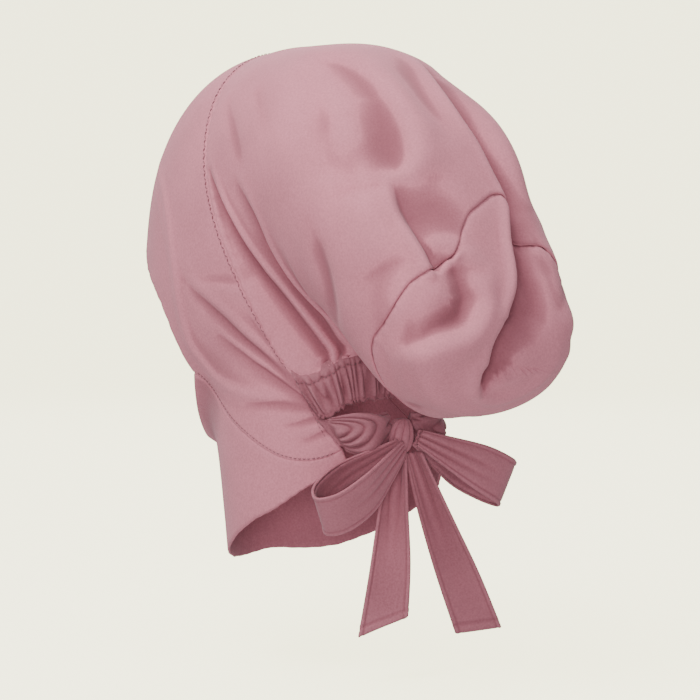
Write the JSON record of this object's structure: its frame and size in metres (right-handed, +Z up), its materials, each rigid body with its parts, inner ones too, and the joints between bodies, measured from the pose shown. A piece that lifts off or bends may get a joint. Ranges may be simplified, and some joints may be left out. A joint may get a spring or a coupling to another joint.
{
  "type": "hijab underscarf cap",
  "caption": "Jersey underscarf cap with a face band, a throat panel, a slouchy bag, an elastic nape casing and a bow tied at the back.",
  "frame": {"origin": "top of the head, where the inside of the cap rests", "axes": "+Z up, the wearer faces -Y, +X is the wearer's left"},
  "size_m": [0.1506, 0.2779, 0.3305],
  "materials": {
    "band_jersey": "fine dusty rose jersey, matt",
    "bag_jersey": "fine dusty rose jersey, matt",
    "gathered_jersey": "fine dusty rose jersey, gathered",
    "tie_jersey": "fine dusty rose jersey, matt"
  },
  "bodies": {
    "root": {"front_band": "band_jersey", "chin_panel": "band_jersey", "crown_panel": "bag_jersey", "bag_base": "bag_jersey", "nape_casing": "gathered_jersey", "gather_left": "gathered_jersey", "gather_right": "gathered_jersey", "bow_knot": "tie_jersey", "bow_loop_left": "tie_jersey", "bow_loop_right": "tie_jersey", "bow_tail_left": "tie_jersey", "bow_tail_right": "tie_jersey"}
  },
  "joints": []
}
